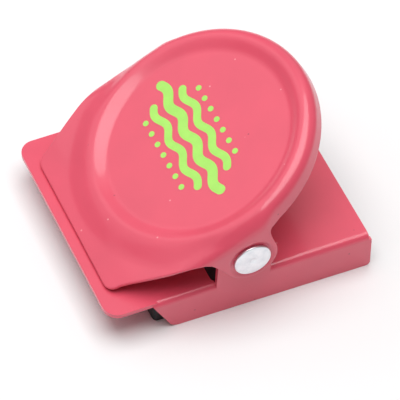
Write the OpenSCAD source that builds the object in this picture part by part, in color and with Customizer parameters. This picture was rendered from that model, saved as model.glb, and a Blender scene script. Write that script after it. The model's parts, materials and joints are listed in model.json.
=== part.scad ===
// Magnetic memo clip: a folded sheet-steel base with a magnet block under it, and a
// sprung, dished lever that pinches paper against the front lip of the base.
// Units are millimetres. +X is the formed-head side of the rivet, -Y is the jaw, +Z is up.
// The origin is the centre of the footprint, on the plane of the magnet face.

/* [Base plate] */
// Length of the base, jaw lip to rear edge
base_l = 50; // [48:0.5:54]
// Width across the two folded flanges
base_w = 43; // [42.5:0.1:44]
// Height of the plate's top face
base_h = 7.1; // [6.8:0.1:8]
// Steel thickness of the base
base_t = 0.8; // [0.6:0.05:0.9]
// Outside radius of the folds
fold_r = 1.2; // [1:0.1:1.6]
// Length of the flat lip in front of the flanges
lip_len = 8.1; // [6:0.1:10]
// Width of the flat lip
lip_w = 42.2; // [40:0.1:42.4]
// Corner radius of the lip
lip_r = 2.8; // [1:0.1:5]
// How far each flange's front end slants back towards its foot
flange_slant = 4; // [1:0.1:6]
// How far the plate's rear edge stops short of the flanges' feet
rear_step = 0.75; // [0.3:0.05:0.8]
// How much the plate climbs from the lip to its rear edge
plate_rise = 1.15; // [0:0.05:1.2]

/* [Pivot] */
// Distance of the pivot behind the middle of the base
pivot_y = 0.9; // [0:0.1:2]
// Height of the pivot above the magnet face
pivot_z = 13.3; // [13.2:0.1:14]
// Radius of the rivet's shank
pin_r = 1.5; // [1.2:0.05:1.8]
// Radius of the rivet's heads
head_r = 3.4; // [3:0.1:3.8]
// Thickness of the rivet's heads
head_t = 0.6; // [0.4:0.05:1]
// Width of the base's upright ears
ear_w = 10.2; // [9:0.1:10.4]
// Gap between an ear's front edge and its window
window_front = 0.4; // [0.3:0.05:0.8]
// Gap between an ear's rear edge and its window
window_back = 1.4; // [0.4:0.1:1.8]

/* [Lever] */
// Angle of the closed lever above the base
tilt = 28.8; // [28.8:0.1:30]
// Steel thickness of the lever
lever_t = 0.7; // [0.5:0.05:0.8]
// Outside radius of the round thumb dish
dish_r = 21.9; // [21.8:0.1:22.2]
// Distance of the dish's centre behind the pivot
dish_y = 3; // [2.5:0.05:3.5]
// Height of the dish's rim above the pivot
rim_z = 8.1; // [8.1:0.1:8.8]
// Radius of the flat floor inside the rim
floor_r = 16.9; // [14:0.1:17.5]
// Depth of the floor below the rim
floor_d = 1; // [0.5:0.1:1.3]
// Depth of the turned-down skirt round the back
skirt_d = 4.2; // [3.5:0.1:4.6]
// Distance of the jaw's edge in front of the pivot
jaw_y = 23.75; // [22.5:0.05:23.75]
// Width of the jaw's edge
jaw_w = 32.6; // [28:0.2:36]
// Radius of the ears round the rivet
lobe_r = 4.75; // [4.6:0.05:5.2]

/* [Spring] */
// Wire diameter
wire_d = 1.4; // [1.2:0.1:1.6]
// Mean radius of the coil
coil_r = 2.8; // [2.6:0.1:3]
// Number of turns
turns = 8; // [6:1:9]
// Gap left between turns
turn_gap = 0.12; // [0.05:0.01:0.3]
// Length of each leg
leg_len = 13.5; // [10:0.5:15]

/* [Magnets] */
// Width of the plastic holder
holder_w = 38.8; // [36:0.2:40]
// Wall thickness of the plastic holder
holder_t = 1.5; // [1:0.1:2.5]
// Thickness of the magnets
magnet_t = 4.6; // [3:0.1:4.8]

/* [Hidden] */
$fn = 64;
steel_paint = [0.87, 0.33, 0.38];
nickel = [0.82, 0.84, 0.86];
black = [0.09, 0.09, 0.1];
bw = base_w / 2;
flange_y = -base_l / 2 + lip_len;
flat_y = -base_l / 2 + 2.4;
climb = plate_rise / base_l;
ear_y = pivot_y - 0.8;
ear_top = 3.9;
win_in = bw - base_t - (pivot_z + ear_top - base_h) - 0.2;
seat_x = bw + 0.08;
emboss = 0.25;
ear_in = seat_x + emboss;
ear_out = ear_in + lever_t;
plane_z = rim_z - 1;
crown_r = 2.1;
crest_r = dish_r - crown_r;
head_x = seat_x + lever_t + 0.05;
pitch = wire_d + turn_gap;
coil_half = turns * pitch / 2;
leg_dz = pivot_z - plate_z(pivot_y + leg_len) - wire_d / 2 - coil_r - 0.03;
leg_up = rim_z - floor_d - lever_t - wire_d / 2 - coil_r - 0.03;
holder_y0 = flange_y + 1.1;
holder_y1 = base_l / 2 - 1.6;
magnet_w = (holder_w - 3 * holder_t) / 2;
magnet_l = holder_y1 - holder_y0 - 2 * holder_t;

// Height of the plate's upper face at y.
function plate_z(y) = base_h + climb * (y - flat_y);
function holder_z(y) = plate_z(y) - base_t - 0.05;
// Points of an arc of radius r about c, from angle a0 to a1 in n steps.
function arc(c, r, a0, a1, n) =
  [for (i = [0:n]) let (a = a0 + (a1 - a0) * i / n) c + r * [cos(a), sin(a)]];
function unit(v) = v / norm(v);
function turn(a) = a > 180 ? a - 360 : (a < -180 ? a + 360 : a);
function heading(v) = atan2(v[1], v[0]);
// The corner v between p and q, rounded to radius r with n steps.
function corner(p, v, q, r, n) =
  let (u = unit(p - v), w = unit(q - v), half = acos(u * w) / 2,
       c = v + unit(u + w) * r / sin(half), s = v + u * r / tan(half) - c,
       e = v + w * r / tan(half) - c)
  arc(c, r, heading(s), heading(s) + turn(heading(e) - heading(s)), n);
// A closed outline whose corner i is rounded to radii[i] (0 keeps it sharp).
function rounded(pts, radii, n = 8) =
  [for (i = [0:len(pts) - 1])
    let (p = pts[(i + len(pts) - 1) % len(pts)], q = pts[(i + 1) % len(pts)])
    each radii[i] > 0 ? corner(p, pts[i], q, radii[i], n) : [pts[i]]];
function mirrored(pts) = [for (i = [len(pts) - 1:-1:0]) [-pts[i][0], pts[i][1]]];

// Outline in Y and Z, extruded along X from x0 to x1.
module side(x0, x1) {
  translate([x0, 0, 0]) rotate([90, 0, 90]) linear_extrude(x1 - x0) children();
}
// Outline in X and Z, extruded along Y from y0 to y1.
module front(y0, y1) {
  translate([0, y1, 0]) rotate([90, 0, 0]) linear_extrude(y1 - y0) children();
}
// Turns the level plate up towards its rear, about a line across the lip.
module climbing() {
  translate([0, flat_y, base_h]) rotate([atan(climb), 0, 0]) translate([0, -flat_y, -base_h]) children();
}
module both() {
  children();
  mirror([1, 0, 0]) children();
}
// Cylinder along X from x0 to x1, radius ra at x0 and rb at x1.
module rod(x0, x1, ra, rb) {
  translate([x0, 0, 0]) rotate([0, 90, 0]) cylinder(h = x1 - x0, r1 = ra, r2 = rb);
}

// Half of a folded section: a flat at height z, a bend, and a leg down to z0.
module fold(x_out, z, z0, t, r) {
  translate([0, z - t]) square([x_out - r, t]);
  translate([x_out - t, z0]) square([t, z - r - z0]);
  intersection() {
    translate([x_out - r, z - r]) difference() {
      circle(r);
      circle(r - t);
    }
    translate([x_out - r, z - r]) square(r + 1);
  }
}

module flange_outline() {
  y0 = flange_y;
  y1 = base_l / 2;
  polygon(rounded([[y0 - 0.1, base_h + 3], [y0, base_h - 0.2], [y0 + flange_slant, 0],
                   [y1, 0], [y1 - 0.5 * rear_step, base_h + 3]], [0, 0, 2.2, 0.9, 0]));
}

module lip_outline() {
  y0 = -base_l / 2;
  polygon(rounded([[-lip_w / 2, y0], [lip_w / 2, y0], [lip_w / 2, flange_y + 1],
                   [-lip_w / 2, flange_y + 1]], [lip_r, lip_r, 0, 0]));
}

module base_ear() {
  y0 = ear_y - ear_w / 2;
  y1 = ear_y + ear_w / 2;
  side(bw - base_t, bw)
    polygon(rounded([[y0, base_h - fold_r], [y1, base_h - fold_r], [y1, pivot_z + 1.8],
                     [pivot_y + 2.1, pivot_z + ear_top], [pivot_y - 2.5, pivot_z + ear_top],
                     [y0, pivot_z + 0.9]], [0, 0, 3, 2.5, 2.5, 3], 6));
}

// Opening left where an ear was cut from the plate and turned up.
module window() {
  y0 = ear_y - ear_w / 2;
  y1 = ear_y + ear_w / 2;
  x1 = bw - fold_r;
  translate([0, 0, base_h - 2]) linear_extrude(4) {
    polygon(rounded([[win_in, y0 - window_front], [x1, y0 - window_front],
                     [x1, y1 + window_back], [win_in, y1 + window_back]],
                    [0.6, 0.7, 0.9, 0.6]));
    translate([x1 - 1, y0]) square([bw - base_t - x1 + 1, ear_w]);
  }
}

module base_plate() {
  color(steel_paint) difference() {
    union() {
      intersection() {
        climbing() front(flange_y - 0.3, base_l / 2 + 1) both() fold(bw, base_h, -3, base_t, fold_r);
        side(-bw - 1, bw + 1) flange_outline();
      }
      climbing() translate([0, 0, base_h - base_t]) linear_extrude(base_t) lip_outline();
    }
    climbing() translate([-bw, base_l / 2 - rear_step, base_h - fold_r]) cube([base_w, 2, 3]);
    both() window();
  }
  color(steel_paint) both() difference() {
    base_ear();
    translate([0, pivot_y, pivot_z]) rod(bw - base_t - 1, bw + 1, pin_r + 0.03, pin_r + 0.03);
  }
}

// Half section of the dish: floor, rise to the rim, and the crown over its edge.
function dish_section(t) =
  let (rise = 2 * atan(floor_d / (crest_r - floor_r)),
       s = (crest_r - floor_r) / (2 * sin(rise)), z = rim_z - floor_d)
  concat([[0, z]], arc([floor_r, z + s], s, -90, rise - 90, 4),
         arc([crest_r, rim_z - s], s, 90 + rise * 0.75, 90, 3),
         arc([crest_r, rim_z - crown_r], crown_r, 78, 0, 6),
         arc([crest_r, rim_z - crown_r], crown_r - t, 0, 78, 6),
         arc([crest_r, rim_z - s], s - t, 90, 90 + rise * 0.75, 3),
         arc([floor_r, z + s], s + t, rise - 90, -90, 4), [[0, z - t]]);

// Half of the lever's outline seen from above, from the jaw's edge to the skirt.
function lever_half() =
  rounded([[0, -jaw_y], [jaw_w / 2, -jaw_y], [jaw_w / 2 + 0.5, -jaw_y + 2.3],
           [dish_r - 1.05, -11.9], [dish_r - 0.1, -8.2], [ear_out, -6], [ear_out, 4.4],
           [dish_r - 0.35, 6.6], [dish_r - 0.7, 8], [0, 8]], [0, 2, 6, 20, 6, 1, 3, 0, 0, 0], 4);

module plan() {
  translate([0, 0, -8]) linear_extrude(20) {
    polygon(lever_half());
    polygon(mirrored(lever_half()));
  }
}

// Ears and skirt seen from the side, relative to the pivot.
module lever_side_outline() {
  z0 = rim_z - skirt_d;
  under = plane_z - lever_t;
  polygon(rounded([[-30, under - 0.2], [-30, 12], [30, 12], [30, z0], [5.3, z0], [lobe_r, 0],
                   [-lobe_r, 0], [-5.5, under - 1.2], [-8.8, under - 0.2]],
                  [0, 0, 0, 0, 1.1, 0, 0, 2.2, 0]));
  circle(lobe_r);
}

// Flat jaw with its front end tipped down to bite on the lip.
module jaw() {
  y1 = -jaw_y + 4.5;
  drop = 4.5 * tan(5);
  side(-25, 25) polygon([[-11.9, plane_z], [y1, plane_z], [-jaw_y, plane_z - drop],
                         [-jaw_y, plane_z - drop - lever_t], [y1, plane_z - lever_t],
                         [-11.9, plane_z - lever_t]]);
  translate([-18.5, -12, plane_z - lever_t]) cube([37, 18, lever_t]);
}

module lever_ear() {
  difference() {
    union() {
      intersection() {
        front(-12, 8) fold(ear_out, plane_z, -6, lever_t, crown_r);
        side(18, 25) lever_side_outline();
        plan();
      }
      rod(seat_x, ear_in + 0.01, lobe_r - 0.75, lobe_r - 0.35);
    }
    rod(ear_out - emboss, ear_out + 0.01, lobe_r - 0.85, lobe_r - 0.4);
    rod(0, 30, pin_r + 0.05, pin_r + 0.05);
  }
}

module lever() {
  z0 = rim_z - skirt_d;
  color(steel_paint) translate([0, pivot_y, pivot_z]) rotate([tilt, 0, 0]) {
    difference() {
      union() {
        intersection() {
          jaw();
          plan();
        }
        both() lever_ear();
      }
      translate([0, dish_y, -8]) cylinder(h = rim_z - 0.5 + 8, r = dish_r - 0.9);
    }
    translate([0, dish_y, 0]) rotate_extrude() polygon(dish_section(lever_t));
    intersection() {
      translate([0, dish_y, z0]) difference() {
        cylinder(h = skirt_d - crown_r + 0.01, r = dish_r);
        translate([0, 0, -1]) cylinder(h = skirt_d, r = dish_r - lever_t);
      }
      side(-25, 25) difference() {
        lever_side_outline();
        translate([-40, -20]) square([45, 40]);
      }
    }
  }
}

module pivot_rivet() {
  color(nickel) translate([0, pivot_y, pivot_z]) {
    rod(-head_x - 0.01, head_x + 0.01, pin_r, pin_r);
    both() difference() {
      union() {
        rod(head_x, head_x + head_t - 0.15, head_r, head_r);
        rod(head_x + head_t - 0.15, head_x + head_t, head_r, head_r - 0.15);
      }
      rod(head_x + head_t - 0.2, head_x + head_t + 0.01, 0.3, 0.7);
    }
  }
}

// Path of the wire: a straight leg, the coil about X, and a second straight leg.
function leg_dir(a, s) = [0, cos(a), s * sin(a)];
function spring_path(n) =
  let (a1 = asin(leg_dz / leg_len), a2 = tilt + asin(leg_up / leg_len), start = -90 - a1,
       sweep = 360 * turns + 180 - a1 - a2)
  concat(
    [let (p = wire_at(start, -coil_half)) [p + leg_len * leg_dir(a1, -1), radial(start)]],
    [for (i = [0:n]) let (a = start - sweep * i / n, x = coil_half * (2 * i / n - 1))
      [wire_at(a, x), radial(a)]],
    [let (a = start - sweep, p = wire_at(a, coil_half)) [p + leg_len * leg_dir(a2, 1), radial(a)]]);
function radial(a) = [0, cos(a), sin(a)];
function wire_at(a, x) = [x, coil_r * cos(a), coil_r * sin(a)];

module torsion_spring() {
  m = 10;
  path = spring_path(turns * 24);
  k = len(path);
  rings = [for (i = [0:k - 1])
    let (t = unit(path[min(i + 1, k - 1)][0] - path[max(i - 1, 0)][0]), e = path[i][1],
         u = unit(e - t * (e * t)), b = cross(t, u))
    each [for (j = [0:m - 1]) path[i][0] + wire_d / 2 * (u * cos(360 * j / m) + b * sin(360 * j / m))]];
  walls = [for (i = [0:k - 2]) each [for (j = [0:m - 1])
    each [[i * m + j, (i + 1) * m + (j + 1) % m, (i + 1) * m + j],
          [i * m + j, i * m + (j + 1) % m, (i + 1) * m + (j + 1) % m]]]];
  ends = [[for (j = [0:m - 1]) m - 1 - j], [for (j = [0:m - 1]) (k - 1) * m + j]];
  color(nickel) translate([0, pivot_y, pivot_z]) polyhedron(rings, concat(walls, ends), convexity = 8);
}

module magnet_holder() {
  w = holder_w / 2;
  color(black) difference() {
    intersection() {
      linear_extrude(base_h + plate_rise)
        polygon(rounded([[-w, holder_y0], [w, holder_y0], [w, holder_y1], [-w, holder_y1]], [1, 1, 1, 1]));
      side(-w, w) polygon(rounded([[holder_y0, 0], [holder_y1, 0], [holder_y1, holder_z(holder_y1)],
                                   [holder_y0, holder_z(holder_y0)]], [0.8, 0.8, 0, 0]));
    }
    both() translate([holder_t / 2, holder_y0 + holder_t, -1])
      cube([magnet_w, magnet_l, magnet_t + 1.15]);
  }
}

module magnet() {
  translate([holder_t / 2 + 0.05, holder_y0 + holder_t + 0.05, 0.1])
    cube([magnet_w - 0.1, magnet_l - 0.1, magnet_t]);
}
module magnet_left() {
  color([0.2, 0.2, 0.21]) mirror([1, 0, 0]) magnet();
}
module magnet_right() {
  color([0.2, 0.2, 0.21]) magnet();
}

base_plate();
lever();
pivot_rivet();
torsion_spring();
magnet_holder();
magnet_left();
magnet_right();
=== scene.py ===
"""Magnetic memo clip: a folded painted base with a magnet block, and a sprung, dished lever.

Lengths below are millimetres unless a comment says otherwise; MM turns them into metres.
The lever is shaped in its own frame: u across (along X), v along the lever towards its tail and
n out of the dish, with the pivot at the origin.
"""
import json
import math

import bmesh
import bpy
import numpy as np
from mathutils import Matrix, Vector


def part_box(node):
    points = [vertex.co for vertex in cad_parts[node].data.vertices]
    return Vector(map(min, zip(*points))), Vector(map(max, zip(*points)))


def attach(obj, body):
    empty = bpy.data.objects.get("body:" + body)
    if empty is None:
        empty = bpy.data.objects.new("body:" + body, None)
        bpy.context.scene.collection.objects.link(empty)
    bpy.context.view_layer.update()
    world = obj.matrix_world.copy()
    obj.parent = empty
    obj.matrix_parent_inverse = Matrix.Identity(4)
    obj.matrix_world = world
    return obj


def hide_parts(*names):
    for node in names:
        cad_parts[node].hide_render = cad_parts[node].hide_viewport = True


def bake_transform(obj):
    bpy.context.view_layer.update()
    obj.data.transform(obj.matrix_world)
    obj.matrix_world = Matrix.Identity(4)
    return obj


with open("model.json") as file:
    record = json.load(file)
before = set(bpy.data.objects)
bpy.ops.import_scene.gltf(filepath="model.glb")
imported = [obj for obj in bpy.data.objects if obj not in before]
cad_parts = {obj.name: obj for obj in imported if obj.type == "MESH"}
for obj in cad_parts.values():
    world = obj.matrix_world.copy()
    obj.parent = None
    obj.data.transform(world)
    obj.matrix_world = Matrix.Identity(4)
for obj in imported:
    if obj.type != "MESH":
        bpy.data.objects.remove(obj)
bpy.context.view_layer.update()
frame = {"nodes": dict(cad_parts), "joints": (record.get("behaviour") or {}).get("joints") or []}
MM = 0.001

# ---------------------------------------------------------------- driving sizes
HINGE = next(j for j in frame["joints"] if j["name"] == "lever_hinge")
PIVOT = np.array(HINGE["pos_m"]) / MM
BASE_TOP = 7.1         # height of the plate's upper face at the lip
PLATE_CLIMB = 0.023    # its slope from there up to the rear
FLAT_Y = -22.6         # where along the plate the slope starts
TILT = 28.8            # degrees, lever above base when shut
SHEET = 0.7            # lever steel
EDGE_R = 0.22          # rounding of the painted sheet edges
DISH_R = 21.9          # outside of the skirt
DISH_V = 3.0           # dish centre behind the pivot
RIM_N = 8.1            # crest of the bead
PLANE_N = 7.1          # jaw plane and dish floor
FLOOR_R = 16.9
CREST_R = 19.9
VALLEY_R = 22.5        # foot of the bead's outer slope beside the ears
VALLEY_R_JAW = 25.2    # and where it spreads out over the jaw
SPREAD_FROM = -3       # v where the valley starts to spread towards the jaw
SPREAD_OVER = 9        # and the length it spreads over
CROWN_R = 2.1          # bend between the upper face and the wall
SKIRT_FROM = 4.0       # v where the wall starts to follow the dish
SKIRT_OVER = 4.5       # and the length it turns over
SKIRT_N = 3.9          # lower edge of the skirt
EAR_U = 22.53          # outer face of the ears
JAW_V = -23.75
JAW_HALF = 16.3
JAW_CORNER = 2.0
TIP_LENGTH = 4.5
TIP_SLOPE = math.tan(math.radians(5))
LOBE_R = 4.75
SEAT_DEPTH = 0.25
SEAT_IN, SEAT_OUT = 3.65, 4.35
PIN_R = 1.5
PRINT_U, PRINT_V = -1.2, 1.5    # middle of the print


# ---------------------------------------------------------------- numbers and meshes
def smooth(t):
    t = np.clip(t, 0.0, 1.0)
    return t * t * (3 - 2 * t)


def unit(a):
    return a / np.maximum(np.linalg.norm(a, axis=-1, keepdims=True), 1e-12)


def arc(centre, radius, start, end, count):
    """Points on an arc, angles in degrees."""
    a = np.radians(np.linspace(start, end, count))
    return np.stack([centre[0] + radius * np.cos(a), centre[1] + radius * np.sin(a)], 1)


def bezier(p0, p1, p2, p3, count):
    t = np.linspace(0, 1, count)[:, None]
    p0, p1, p2, p3 = (np.array(p, float) for p in (p0, p1, p2, p3))
    return (1 - t) ** 3 * p0 + 3 * t * (1 - t) ** 2 * p1 + 3 * t * t * (1 - t) * p2 + t ** 3 * p3


def resample(points, count, start=0.0, end=None):
    """Points spaced evenly along a polyline, from start to end of its length."""
    points = np.asarray(points, float)
    step = np.linalg.norm(np.diff(points, axis=0), axis=1)
    run = np.concatenate([[0], np.cumsum(step)])
    want = np.linspace(start, run[-1] if end is None else end, count)
    return np.stack([np.interp(want, run, points[:, k]) for k in range(points.shape[1])], 1)


def add_mesh(name, points, faces, material, smooth_faces=True):
    """A mesh object from points in millimetres, in the row frame."""
    mesh = bpy.data.meshes.new(name)
    mesh.from_pydata((np.asarray(points) * MM).tolist(), [], [list(map(int, f)) for f in faces])
    mesh.update()
    mesh.polygons.foreach_set("use_smooth", [smooth_faces] * len(mesh.polygons))
    obj = bpy.data.objects.new(name, mesh)
    bpy.context.scene.collection.objects.link(obj)
    mesh.materials.append(material)
    return obj


def ring_faces(first, second, count):
    """Quads between two closed rings of the same count, given their first vertex numbers."""
    return [[first + j, first + (j + 1) % count, second + (j + 1) % count, second + j]
            for j in range(count)]


def apply_modifiers(obj):
    graph = bpy.context.evaluated_depsgraph_get()
    mesh = bpy.data.meshes.new_from_object(obj.evaluated_get(graph))
    obj.modifiers.clear()
    obj.data = mesh


def sharp_by_angle(obj, degrees):
    """Smooth shading, with a crease only where faces meet at more than this angle."""
    mesh = obj.data
    mesh.polygons.foreach_set("use_smooth", [True] * len(mesh.polygons))
    work = bmesh.new()
    work.from_mesh(mesh)
    for edge in work.edges:
        edge.smooth = len(edge.link_faces) == 2 and edge.calc_face_angle(0) < math.radians(degrees)
    work.to_mesh(mesh)
    work.free()


def lever_to_row(points):
    """From the lever's own frame to the row frame, lever shut."""
    c, s = math.cos(math.radians(TILT)), math.sin(math.radians(TILT))
    u, v, n = np.moveaxis(np.asarray(points, float), -1, 0)
    return np.stack([u + PIVOT[0], PIVOT[1] + v * c - n * s, PIVOT[2] + v * s + n * c], -1)


# ---------------------------------------------------------------- materials
class Nodes:
    """A short way to build one Principled material."""

    def __init__(self, name, **sockets):
        self.material = bpy.data.materials.new(name)
        self.material.use_nodes = True
        self.tree = self.material.node_tree
        self.shader = self.tree.nodes["Principled BSDF"]
        for key, value in sockets.items():
            self.shader.inputs[key.replace("_", " ")].default_value = value
        self.place = self.tree.nodes.new("ShaderNodeTexCoord").outputs["Object"]

    def node(self, kind, **values):
        made = self.tree.nodes.new(kind)
        for key, value in values.items():
            if key in made.inputs:
                made.inputs[key].default_value = value
            else:
                setattr(made, key, value)
        return made

    def link(self, out, into):
        self.tree.links.new(out, into)

    def noise(self, scale, detail=4.0, roughness=0.5, stretch=None):
        made = self.node("ShaderNodeTexNoise", Scale=scale, Detail=detail, Roughness=roughness)
        place = self.place
        if stretch:
            mapping = self.node("ShaderNodeMapping")
            mapping.inputs["Scale"].default_value = stretch
            self.link(place, mapping.inputs["Vector"])
            place = mapping.outputs["Vector"]
        self.link(place, made.inputs["Vector"])
        return made.outputs["Fac"]

    def specks(self, scale, size, seed_shift):
        """1 on sparse round specks, 0 elsewhere."""
        mapping = self.node("ShaderNodeMapping")
        mapping.inputs["Location"].default_value = (seed_shift, seed_shift * 0.7, seed_shift * 0.3)
        self.link(self.place, mapping.inputs["Vector"])
        cells = self.node("ShaderNodeTexVoronoi", Scale=scale)
        self.link(mapping.outputs["Vector"], cells.inputs["Vector"])
        return self.ramp(cells.outputs["Distance"], [(0.0, 1.0), (size, 0.0)])

    def ramp(self, value, stops):
        """Grey or coloured stops, each (position, grey) or (position, (r, g, b))."""
        made = self.node("ShaderNodeValToRGB")
        ramp = made.color_ramp
        while len(ramp.elements) < len(stops):
            ramp.elements.new(0.5)
        for element, (position, colour) in zip(ramp.elements, stops):
            element.position = position
            rgb = (colour,) * 3 if isinstance(colour, (int, float)) else colour
            element.color = (*rgb, 1)
        self.link(value, made.inputs["Fac"])
        return made.outputs["Color"]

    def mix(self, fac, a, b):
        """Colour a, turning to b where fac is 1."""
        made = self.node("ShaderNodeMix", data_type="RGBA")
        for socket, value in ((made.inputs[0], fac), (made.inputs[6], a), (made.inputs[7], b)):
            if isinstance(value, bpy.types.NodeSocket):
                self.link(value, socket)
            elif isinstance(value, (int, float)):
                socket.default_value = value
            else:
                socket.default_value = (*value, 1)
        return made.outputs[2]

    def bump(self, height, strength, distance):
        made = self.node("ShaderNodeBump", Strength=strength, Distance=distance)
        self.link(height, made.inputs["Height"])
        last = self.shader.inputs["Normal"].links
        if last:
            self.link(last[0].from_socket, made.inputs["Normal"])
        self.link(made.outputs["Normal"], self.shader.inputs["Normal"])

    def colour(self, socket):
        self.link(socket, self.shader.inputs["Base Color"])

    def roughness(self, value, low, high):
        made = self.node("ShaderNodeMapRange")
        made.inputs["To Min"].default_value = low
        made.inputs["To Max"].default_value = high
        self.link(value, made.inputs["Value"])
        self.link(made.outputs["Result"], self.shader.inputs["Roughness"])


def enamel(name, tint):
    """Thick gloss enamel with faint orange peel, cloudy colour and a little dust under it."""
    m = Nodes(name, Coat_Weight=0.5, Coat_Roughness=0.11, Specular_IOR_Level=0.5)
    deep = tuple(c * 0.93 for c in tint)
    body = m.mix(m.ramp(m.noise(90, 3), [(0.35, 0.0), (0.7, 1.0)]), tint, deep)
    body = m.mix(m.specks(260, 0.06, 0.31), body, tuple(c * 0.35 for c in tint))
    body = m.mix(m.specks(210, 0.048, 0.87), body, (0.95, 0.42, 0.45))
    m.colour(body)
    m.roughness(m.noise(300, 3), 0.30, 0.40)
    m.bump(m.noise(900, 2, 0.4), 0.05, 0.0002)
    m.bump(m.specks(235, 0.08, 0.87), 0.15, 0.0001)
    return m.material


def nickel(name):
    """Nickel plate: bright, with fine marks from the heading tool and faint stains."""
    m = Nodes(name, Metallic=1.0)
    stain = m.ramp(m.noise(620, 5, 0.65), [(0.38, 0.0), (0.68, 1.0)])
    m.colour(m.mix(stain, (0.87, 0.89, 0.92), (0.73, 0.76, 0.80)))
    m.roughness(m.noise(1300, 4, 0.6), 0.20, 0.46)
    m.bump(m.noise(900, 3, 0.6), 0.22, 0.00010)
    m.bump(m.noise(3600, 4, 0.7), 0.18, 0.00005)
    return m.material


def wire(name):
    """Zinc-plated drawn wire with marks that run along the draw."""
    m = Nodes(name, Metallic=1.0)
    m.colour(m.mix(m.noise(1800, 4), (0.62, 0.63, 0.66), (0.42, 0.43, 0.45)))
    m.roughness(m.noise(2400, 3), 0.28, 0.45)
    m.bump(m.noise(4000, 3, 0.6, (0.2, 1, 1)), 0.2, 0.00004)
    return m.material


def moulded(name):
    """Black moulded plastic with a fine spark-eroded grain."""
    m = Nodes(name, Specular_IOR_Level=0.45)
    m.colour(m.mix(m.noise(120, 4), (0.016, 0.016, 0.018), (0.028, 0.028, 0.031)))
    m.roughness(m.noise(1600, 2), 0.42, 0.58)
    m.bump(m.noise(3200, 2, 0.5), 0.25, 0.00006)
    return m.material


def ferrite(name):
    """Ground ceramic magnet: dark grey, with grinding lines and small pores."""
    m = Nodes(name, Specular_IOR_Level=0.5)
    lines = m.noise(2600, 3, 0.6, (0.08, 1, 1))
    body = m.mix(lines, (0.060, 0.060, 0.064), (0.10, 0.10, 0.105))
    m.colour(m.mix(m.specks(900, 0.16, 0.2), body, (0.02, 0.02, 0.02)))
    m.roughness(m.noise(800, 4), 0.45, 0.7)
    m.bump(lines, 0.25, 0.00005)
    return m.material


def ink(name):
    """Screen-printed ink: flat and opaque, slightly mottled, with pinholes."""
    m = Nodes(name, Specular_IOR_Level=0.4)
    mottle = m.ramp(m.noise(500, 3), [(0.3, 0.0), (0.7, 1.0)])
    body = m.mix(mottle, (0.43, 0.84, 0.15), (0.39, 0.78, 0.14))
    m.colour(m.mix(m.specks(1500, 0.10, 0.5), body, (0.60, 0.80, 0.26)))
    m.roughness(m.noise(900, 3), 0.45, 0.6)
    m.bump(m.noise(2600, 3), 0.15, 0.00003)
    return m.material


PAINT = (0.81, 0.088, 0.148)
PAINTED = enamel("enamel", PAINT)
NICKEL = nickel("nickel")
WIRE = wire("spring_wire")
PLASTIC = moulded("moulded_plastic")
FERRITE = ferrite("ferrite")
INK = ink("ink")


# ---------------------------------------------------------------- lever
def back_share(v):
    """0 beside the ears, 1 round the back, where the skirt follows the dish."""
    return smooth((v - SKIRT_FROM) / SKIRT_OVER)


def circle_u(v):
    return np.sqrt(np.maximum(DISH_R ** 2 - (v - DISH_V) ** 2, 0.0))


def wall_u(v):
    """Where the turned-down wall stands, on the +u side."""
    return EAR_U + (circle_u(v) - EAR_U) * back_share(v)


def lever_height(u, v):
    """Height of the lever's upper face over its plan, short of the wall."""
    r = np.hypot(u, v - DISH_V)
    back = back_share(v)
    rise = smooth((r - FLOOR_R) / (CREST_R - FLOOR_R))
    valley = VALLEY_R + (VALLEY_R_JAW - VALLEY_R) * smooth((SPREAD_FROM - v) / SPREAD_OVER)
    fall = (1 - back) * smooth((r - CREST_R) / (valley - CREST_R))
    inset = (1 - back) * (EAR_U - np.abs(u)) + back * (DISH_R - r)
    x = np.clip(CROWN_R - inset, 0, CROWN_R)
    drop = CROWN_R - np.sqrt(CROWN_R ** 2 - x ** 2)
    past = JAW_V + TIP_LENGTH - v
    tip = TIP_SLOPE * (np.sqrt(past ** 2 + 0.5) + past) / 2
    return PLANE_N + (RIM_N - PLANE_N) * (rise - fall) - drop - tip


def jaw_outline():
    """Half of the jaw's plan outline, from the middle of its edge to the front of the ear."""
    corner = arc((JAW_HALF - JAW_CORNER, JAW_V + JAW_CORNER), JAW_CORNER, -90, 0, 12)
    side = bezier((JAW_HALF, -21.75), (17.9, -17.9), (21.75, -11.6), (EAR_U, -6.1), 60)
    return np.concatenate([[[0, JAW_V]], corner, side[1:]])


def ear_outline():
    """The ear's edge on the wall, as (v, n), from the jaw round the rivet to the skirt."""
    front = bezier((-6.1, 5.1), (-5.6, 4.2), (-5.3, 2.6), (-5.05, 0.9), 20)
    lobe = arc((0, 0), LOBE_R, 176, 362, 60)
    back = bezier((4.78, 0.5), (5.1, 2.4), (5.0, 3.6), (6.1, 3.98), 20)
    return np.concatenate([front[:-2], lobe[2:], back[1:], [[7.4, SKIRT_N]]])


def lever_column(plan_end, wall_path, rings):
    """One column of the lever's upper face, from the crest of the bead out to its edge."""
    plan_end = np.asarray(plan_end, float)
    centre = np.array([0, DISH_V])
    out = unit(plan_end - centre)
    start = centre + out * CREST_R
    walk = start + (plan_end - start) * np.linspace(0, 1, 90)[:, None] ** 0.8
    top = np.column_stack([walk, lever_height(walk[:, 0], walk[:, 1])])
    if len(wall_path):
        top = np.concatenate([top, wall_path])
    length = np.linalg.norm(np.diff(top, axis=0), axis=1).sum()
    return resample(top, rings, 0, length - EDGE_R)


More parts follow.
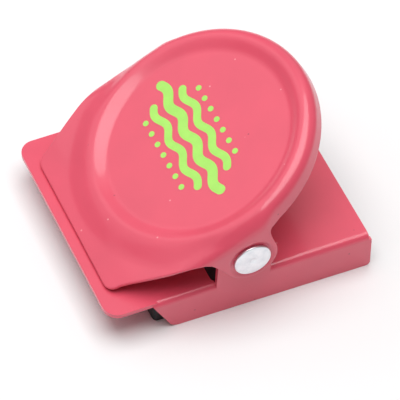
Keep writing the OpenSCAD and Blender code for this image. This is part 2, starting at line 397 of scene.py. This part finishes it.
def lever_columns(jaw_count, ear_count, skirt_count, rings):
    """Columns of half the lever, from the front middle to the back middle, (columns, rings, 3)."""
    columns = []
    for end in resample(jaw_outline(), jaw_count)[:-1]:
        columns.append(lever_column(end, [], rings))
    edge = resample(ear_outline(), ear_count)
    tops = np.linspace(edge[0, 0], edge[-1, 0], ear_count)
    for (v, n), top_v in zip(edge[:-1], tops[:-1]):
        down = np.linspace(0, 1, 60)[1:, None]
        top_n = lever_height(wall_u(top_v), top_v)
        path = np.array([top_v, top_n]) * (1 - down) + np.array([v, n]) * down
        wall = np.column_stack([wall_u(path[:, 0]), path])
        columns.append(lever_column((wall_u(top_v), top_v), wall, rings))
    first = math.asin((edge[-1, 0] - DISH_V) / DISH_R)
    for a in np.linspace(first, math.pi / 2, skirt_count):
        v = DISH_V + DISH_R * math.sin(a)
        u = wall_u(v) if a < 0.5 else DISH_R * math.cos(a)
        top_n = lever_height(u, v)
        wall = [[u, v, top_n + (SKIRT_N - top_n) * t] for t in np.linspace(0, 1, 12)[1:]]
        columns.append(lever_column((u, v), wall, rings))
    return np.array(columns)


def press_seat(points):
    """Sinks the round seat for the rivet's head into the ears."""
    ring = np.hypot(points[..., 1], points[..., 2])
    on_wall = np.abs(points[..., 0]) > EAR_U - 0.35
    depth = SEAT_DEPTH * (1 - smooth((ring - SEAT_IN) / (SEAT_OUT - SEAT_IN)))
    points[..., 0] -= np.sign(points[..., 0]) * np.where(on_wall, depth, 0)
    return points


def build_lever():
    half = lever_columns(56, 110, 60, 46)
    other = half[-2:0:-1] * [-1, 1, 1]
    outer = np.concatenate([half, other])
    spin = outer[:, 0, :2] - [0, DISH_V]
    spin = unit(spin)
    radii = np.concatenate([[5.0, 10.0, 15.0], np.linspace(FLOOR_R - 0.6, CREST_R, 12)[:-1]])
    inner_rings = []
    for r in radii:
        plan = spin * r + [0, DISH_V]
        inner_rings.append(np.column_stack([plan, lever_height(plan[:, 0], plan[:, 1])]))
    skin = np.concatenate([np.stack(inner_rings, 1), outer], 1)
    skin = press_seat(skin)
    along = np.gradient(skin, axis=1)
    around = np.roll(skin, -1, 0) - np.roll(skin, 1, 0)
    normal = unit(np.cross(along, around))
    normal *= np.sign(normal[0, 0, 2])
    columns, rings = skin.shape[:2]
    outward = unit(np.cross(normal[:, -1], around[:, -1]))
    outward *= np.sign(np.sum(outward * along[:, -1], 1, keepdims=True))
    lip = []
    half_t = SHEET / 2
    middle = skin[:, -1] - normal[:, -1] * half_t
    for side, angles in ((1, (30, 60, 90)), (-1, (90, 120, 150))):
        for a in angles:
            c, s = math.cos(math.radians(a)), math.sin(math.radians(a))
            rise = (half_t - EDGE_R) * side + EDGE_R * c
            lip.append(middle + normal[:, -1] * rise + outward * EDGE_R * s)
    under = skin - normal * SHEET
    layers = [skin[:, k] for k in range(rings)] + lip + [under[:, k] for k in range(rings)][::-1]
    points = np.concatenate(layers)
    faces = []
    for k in range(len(layers) - 1):
        faces += ring_faces(k * columns, (k + 1) * columns, columns)
    top, bottom = len(points), len(points) + 1
    points = np.concatenate([points, [[0, DISH_V, PLANE_N], [0, DISH_V, PLANE_N - SHEET]]])
    last = (len(layers) - 1) * columns
    faces += [[top, (j + 1) % columns, j] for j in range(columns)]
    faces += [[bottom, last + j, last + (j + 1) % columns] for j in range(columns)]
    obj = add_mesh("lever_body", lever_to_row(points), faces, PAINTED)
    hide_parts("lever")
    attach(obj, "lever")


build_lever()


# ---------------------------------------------------------------- base, holder and magnets
WELD = 0.002                      # corners closer than this are one
FLAT_ANGLE = math.radians(0.6)    # faces meeting at less than this are one
EDGE_ANGLE = math.radians(35)     # and at more than this they have an edge to round


def eased(node, name, material, width, segments=3):
    """A copy of one of the base's CAD nodes with its edges rounded by up to the given width.

    The bevel's overlap limit holds the rounding back where the mesh has facets smaller than the
    width: the magnets get all of it, the holder and the base plate next to nothing.
    """
    mesh = frame["nodes"][node].data.copy()
    mesh.name = name
    work = bmesh.new()
    work.from_mesh(mesh)
    bmesh.ops.remove_doubles(work, verts=work.verts, dist=WELD * MM)
    bmesh.ops.dissolve_limit(work, angle_limit=FLAT_ANGLE, verts=work.verts, edges=work.edges)
    bmesh.ops.triangulate(work, faces=[f for f in work.faces if len(f.verts) > 4])
    work.to_mesh(mesh)
    work.free()
    mesh.materials.clear()
    mesh.materials.append(material)
    obj = bpy.data.objects.new(name, mesh)
    bpy.context.scene.collection.objects.link(obj)
    bevel = obj.modifiers.new("eased", "BEVEL")
    bevel.width = width * MM
    bevel.segments = segments
    bevel.limit_method = "ANGLE"
    bevel.angle_limit = EDGE_ANGLE
    apply_modifiers(obj)
    sharp_by_angle(obj, 50)
    flat = obj.modifiers.new("flat", "WEIGHTED_NORMAL")
    flat.keep_sharp = True
    apply_modifiers(obj)
    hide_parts(node)
    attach(obj, "base")


eased("base_plate", "base_body", PAINTED, 0.16)
eased("magnet_holder", "holder_body", PLASTIC, 0.25)
eased("magnet_left", "magnet_block_left", FERRITE, 0.2, 2)
eased("magnet_right", "magnet_block_right", FERRITE, 0.2, 2)


# ---------------------------------------------------------------- rivet and spring
def lathe(name, profile, steps, material):
    """Turns (x, radius) points about the pivot's axis; both ends close on the axis."""
    profile = np.asarray(profile, float)
    a = np.linspace(0, 2 * math.pi, steps, endpoint=False)
    rings = [np.column_stack([np.full(steps, x), r * np.cos(a), r * np.sin(a)])
             for x, r in profile[1:-1]]
    points = np.concatenate(rings + [[[profile[0, 0], 0, 0]], [[profile[-1, 0], 0, 0]]])
    faces = []
    for k in range(len(rings) - 1):
        faces += ring_faces(k * steps, (k + 1) * steps, steps)
    first, last, base = len(points) - 2, len(points) - 1, (len(rings) - 1) * steps
    faces += [[first, (j + 1) % steps, j] for j in range(steps)]
    faces += [[last, base + j, base + (j + 1) % steps] for j in range(steps)]
    return add_mesh(name, points + PIVOT, faces, material)


def build_rivet():
    """Shank and two formed heads: eased rim, very slightly domed face and a centre mark."""
    low, high = (np.array(corner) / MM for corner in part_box("pivot_rivet"))
    half = high[0]
    head_r = (high[2] - low[2]) / 2
    head_t, rim, dome = 0.6, 0.2, 0.05
    under = half - head_t
    face = [(half - 0.22, 0), (half - 0.2, 0.2), (half - 0.12, 0.42), (half - 0.03, 0.62),
            (half - 0.01, 0.85), (half, 1.2), (half - 0.02, 2.2), (half - dome, head_r - rim)]
    edge = [(half - dome - rim + rim * math.cos(t), head_r - rim + rim * math.sin(t))
            for t in map(math.radians, (25, 50, 75, 90))]
    foot = [(under + 0.06, head_r), (under, head_r - 0.06), (under, head_r - 0.5),
            (under, PIN_R + 0.1), (under - 0.1, PIN_R)]
    right = (face + edge + foot)[::-1]
    left = [(-x, r) for x, r in right[::-1]]
    obj = lathe("rivet_body", left + right, 96, NICKEL)
    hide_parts("pivot_rivet")
    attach(obj, "base")


def build_spring():
    """Torsion spring: one leg on the plate, a close coil round the rivet, one leg under the lever."""
    wire_r, coil_r, turns, gap, leg, clear = 0.7, 2.8, 8, 0.12, 13.5, 0.03
    half = turns * (2 * wire_r + gap) / 2
    plate = BASE_TOP + PLATE_CLIMB * (PIVOT[1] + leg - FLAT_Y)
    down = math.asin((PIVOT[2] - plate - wire_r - coil_r - clear) / leg)
    up = math.radians(TILT) + math.asin((PLANE_N - SHEET - wire_r - coil_r - clear) / leg)
    start, sweep = -math.pi / 2 - down, 2 * math.pi * turns + math.pi - down - up
    count = turns * 40
    a = start - sweep * np.linspace(0, 1, count)
    coil = np.column_stack([np.linspace(-half, half, count), coil_r * np.cos(a), coil_r * np.sin(a)])
    reach = np.linspace(leg, 0, 24, endpoint=False)[:, None]
    first = coil[0] + reach * [0, math.cos(down), -math.sin(down)]
    last = coil[-1] + reach[::-1] * [0, math.cos(up), math.sin(up)]
    path = np.concatenate([first, coil, last])
    spoke = np.concatenate([np.tile([0, math.cos(a[0]), math.sin(a[0])], (len(first), 1)),
                            np.column_stack([np.zeros(count), np.cos(a), np.sin(a)]),
                            np.tile([0, math.cos(a[-1]), math.sin(a[-1])], (len(last), 1))])
    along = unit(np.gradient(path, axis=0))
    e1 = unit(spoke - along * np.sum(spoke * along, 1, keepdims=True))
    e2 = np.cross(along, e1)
    sides = 16
    turn = np.linspace(0, 2 * math.pi, sides, endpoint=False)
    inset = [(0, 0.72), (0.06, 0.92), (0.2, 1.0)]
    rings = [(path[0] + along[0] * d, e1[0], e2[0], k * wire_r) for d, k in inset]
    rings += [(path[i], e1[i], e2[i], wire_r) for i in range(2, len(path) - 2)]
    rings += [(path[-1] - along[-1] * d, e1[-1], e2[-1], k * wire_r) for d, k in inset[::-1]]
    points = np.concatenate([c + r * (np.cos(turn)[:, None] * p + np.sin(turn)[:, None] * q)
                             for c, p, q, r in rings])
    faces = []
    for k in range(len(rings) - 1):
        faces += ring_faces(k * sides, (k + 1) * sides, sides)
    base = (len(rings) - 1) * sides
    faces += [list(range(sides))[::-1], [base + j for j in range(sides)]]
    obj = add_mesh("spring_wire", points + PIVOT, faces, WIRE)
    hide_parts("torsion_spring")
    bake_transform(obj)


build_rivet()
build_spring()


# ---------------------------------------------------------------- print on the dish
def wave_outline(length, thick, period=6.4, height=0.55):
    """A wavy ribbon with round ends, centred on the origin, running along u."""
    u = np.linspace(-length / 2, length / 2, 120)
    v = height * np.sin(2 * math.pi * u / period)
    slope = np.gradient(v, u)
    across = unit(np.column_stack([-slope, np.ones_like(u)])) * thick / 2
    middle = np.column_stack([u, v])
    tips = []
    for end, sign in ((-1, 1), (0, -1)):
        start = math.degrees(math.atan2(*(sign * across[end])[::-1]))
        tips.append(arc(middle[end], thick / 2, start, start - 180, 12)[1:-1])
    return np.concatenate([middle + across, tips[0], (middle - across)[::-1], tips[1]])


def build_print():
    """Plain decoration in one ink: level ripples between two short rows of dots."""
    outlines = []
    for v, length, thick in ((3.55, 19.2, 1.5), (0.55, 25.6, 1.9), (-2.55, 19.2, 1.5)):
        outlines.append(wave_outline(length, thick) + [0, v])
    for v, r in ((6.1, 0.55), (-5.1, 0.55)):
        for k in range(-3, 4):
            outlines.append(arc((2.6 * k, v), r, 0, 360, 37)[:-1])
    points, faces = [], []
    proud, sunk = 0.03, 0.02
    for outline in outlines:
        first, count = len(points), len(outline)
        for n in (PLANE_N + proud, PLANE_N - sunk):
            points += [[u + PRINT_U, v + PRINT_V, n] for u, v in outline]
        faces.append(list(range(first, first + count)))
        faces += ring_faces(first + count, first, count)
    obj = add_mesh("dish_print", lever_to_row(points), faces, INK, smooth_faces=False)
    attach(obj, "lever")


build_print()


# ---------------------------------------------------------------- floor, light and camera
def build_floor():
    """A plain pale tabletop, just under the clip."""
    m = Nodes("floor", Roughness=0.9, Specular_IOR_Level=0.1)
    m.colour(m.mix(m.noise(3, 3), (0.93, 0.93, 0.93), (0.90, 0.90, 0.905)))
    reach, drop = 3000, 0.02
    corners = [[x * reach, y * reach, -drop] for x, y in ((-1, -1), (1, -1), (1, 1), (-1, 1))]
    add_mesh("floor", corners, [[0, 1, 2, 3]], m.material)


def direction(azimuth, elevation):
    """A unit vector away from the clip; azimuth 0 is the -Y side and pi / 2 the +X side."""
    level = math.cos(elevation)
    return Vector((math.sin(azimuth) * level, -math.cos(azimuth) * level, math.sin(elevation)))


def area_light(name, azimuth, elevation, distance, size, power):
    """A white softbox that faces the clip; angles in degrees, the rest in metres and watts."""
    way = direction(math.radians(azimuth), math.radians(elevation))
    data = bpy.data.lights.new(name, "AREA")
    data.shape = "RECTANGLE"
    data.size, data.size_y = size
    data.energy = power
    lamp = bpy.data.objects.new(name, data)
    lamp.location = way * distance
    lamp.rotation_euler = way.to_track_quat("Z", "Y").to_euler()
    bpy.context.scene.collection.objects.link(lamp)


def build_camera():
    """A long lens on the +X side, turned towards the lip and well above; lengths in metres."""
    azimuth, elevation, roll = (math.radians(d) for d in (63.03, 50.05, 4.34))
    distance, aim_right, aim_up = 0.648, 0.00157, 0.00292
    back = direction(azimuth, elevation)
    right = Vector((math.cos(azimuth), math.sin(azimuth), 0))
    up = back.cross(right)
    right, up = (math.cos(roll) * right + math.sin(roll) * up,
                 -math.sin(roll) * right + math.cos(roll) * up)
    data = bpy.data.cameras.new("camera")
    data.lens = 328.2
    data.clip_start, data.clip_end = 0.05, 20
    camera = bpy.data.objects.new("camera", data)
    place = back * distance
    target = right * aim_right + up * aim_up
    z = (place - target).normalized()
    x = up.cross(z).normalized()
    y = z.cross(x)
    turn = Matrix((x, y, z)).transposed().to_4x4()
    camera.matrix_world = Matrix.Translation(place) @ turn
    bpy.context.scene.collection.objects.link(camera)
    bpy.context.scene.camera = camera


def build_world():
    """A weak white surround that fills the shadows."""
    world = bpy.data.worlds.new("studio")
    world.use_nodes = True
    background = world.node_tree.nodes["Background"].inputs
    background["Color"].default_value = (1, 1, 1, 1)
    background["Strength"].default_value = 0.16
    bpy.context.scene.world = world


build_floor()
build_camera()
build_world()
area_light("overhead", 0, 88, 0.95, (0.85, 0.85), 8.9)
area_light("front", 10, 50, 0.6, (0.5, 0.5), 0.28)
area_light("left", 285, 36, 0.6, (0.5, 0.4), 0.21)
area_light("left_low", 310, 42, 0.5, (0.45, 0.35), 0.28)
area_light("left_strip", 230, 38, 0.7, (0.36, 0.55), 0.28)
area_light("back", 180, 38, 0.6, (0.5, 0.4), 0.12)
bpy.context.scene.view_settings.view_transform = "Standard"
